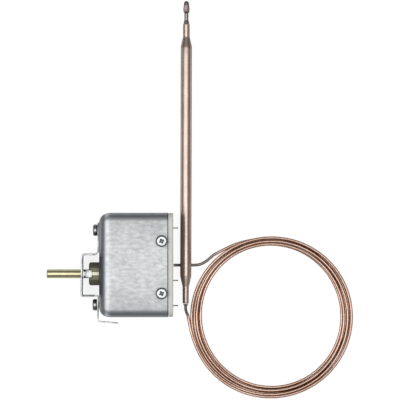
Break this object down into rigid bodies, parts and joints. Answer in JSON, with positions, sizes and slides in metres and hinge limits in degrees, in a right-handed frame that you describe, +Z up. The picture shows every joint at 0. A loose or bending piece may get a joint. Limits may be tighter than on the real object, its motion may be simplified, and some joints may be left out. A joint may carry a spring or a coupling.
{
  "type": "capillary thermostat",
  "caption": "Capillary thermostat with a drawn steel can, adjusting spindle in a hexagon bush, folded mounting strap, tab terminals and a sensing bulb on a coiled copper capillary.",
  "frame": {"origin": "middle of the can's flat side that rests on the table", "axes": "+X from the spindle's tip towards the terminals, +Y along the can's front towards the bulb's tip, +Z up from the table"},
  "size_m": [0.2119, 0.2748, 0.0474],
  "materials": {
    "zinc_sheet": "zinc-plated drawn sheet, satin, slightly mottled",
    "plated_strap": "bright zinc plating on folded strip",
    "screw_zinc": "bright zinc plating",
    "frame_steel": "plain plated steel",
    "spring_steel": "oiled spring wire",
    "base_moulding": "pale grey moulding, matt",
    "brass": "turned and bright",
    "bush_brass": "turned, darkened",
    "spring_bronze": "rolled, semi-bright",
    "contact_silver": "silver contact faces",
    "pin_ceramic": "unglazed, matt",
    "copper": "bare copper, drawn, bright",
    "braze": "dark brazing metal"
  },
  "bodies": {
    "root": {"housing_can": "zinc_sheet", "base_plate": "base_moulding", "mounting_bracket": "plated_strap", "hex_bush": "bush_brass", "bush_nut": "bush_brass", "stop_pin": "frame_steel", "range_spring": "spring_steel", "inner_frame": "frame_steel", "lever_pin": "frame_steel", "diaphragm_capsule": "spring_bronze", "capsule_nut": "frame_steel", "blade_rivet": "frame_steel", "break_contact": "contact_silver", "make_contact": "contact_silver", "common_terminal": "brass", "break_terminal": "brass", "make_terminal": "brass", "front_screw_upper": "screw_zinc", "front_screw_lower": "screw_zinc", "side_screw_upper": "screw_zinc", "side_screw_lower": "screw_zinc", "screw_insert_upper": "frame_steel", "screw_insert_lower": "frame_steel", "capillary_inlet": "copper", "capillary_lead": "copper", "capillary_coil": "copper", "capillary_tail": "copper", "probe_bulb": "copper", "charging_tube": "copper", "tip_braze": "braze", "tail_braze": "braze"},
    "spindle": {"spindle": "brass", "stop_sector": "frame_steel"},
    "adjuster": {"adjusting_nut": "brass"},
    "lever": {"main_lever": "frame_steel", "trim_screw": "brass"},
    "button": {"push_button": "frame_steel"},
    "pin": {"push_pin": "pin_ceramic"},
    "blade": {"contact_blade": "spring_bronze", "moving_contact": "contact_silver"}
  },
  "joints": [
    {"name": "spindle_turn", "type": "hinge", "parent": "root", "child": "spindle", "pos_m": [-0.04, -0.0062, 0.022], "axis": [1, 0, 0], "range_deg": [-150, 150]},
    {"name": "adjuster_travel", "type": "slide", "parent": "root", "child": "adjuster", "axis": [1, 0, 0], "range_m": [-0.00063, 0.00063], "deforming": ["range_spring"]},
    {"name": "lever_swing", "type": "hinge", "parent": "root", "child": "lever", "pos_m": [0.002, 0.028, 0.022], "axis": [0, 0, -1], "range_deg": [0, 1], "stiffness_Nm_per_rad": 2, "deforming": ["range_spring"]},
    {"name": "button_travel", "type": "slide", "parent": "root", "child": "button", "axis": [-1, 0, 0], "range_m": [0, 0.0003]},
    {"name": "pin_travel", "type": "slide", "parent": "root", "child": "pin", "axis": [-1, 0, 0], "range_m": [0, 0.00086]},
    {"name": "blade_swing", "type": "hinge", "parent": "root", "child": "blade", "pos_m": [0.0145, -0.013, 0.022], "axis": [0, 0, -1], "range_deg": [0, 6.5]}
  ],
  "couplings": [
    {"joint": "adjuster_travel", "follows": "spindle_turn", "m_per_rad": 0.00023873},
    {"joint": "button_travel", "follows": "lever_swing", "m_per_rad": 0.016},
    {"joint": "pin_travel", "follows": "lever_swing", "m_per_rad": 0.0485},
    {"joint": "blade_swing", "follows": "lever_swing", "ratio": 6.4667}
  ]
}
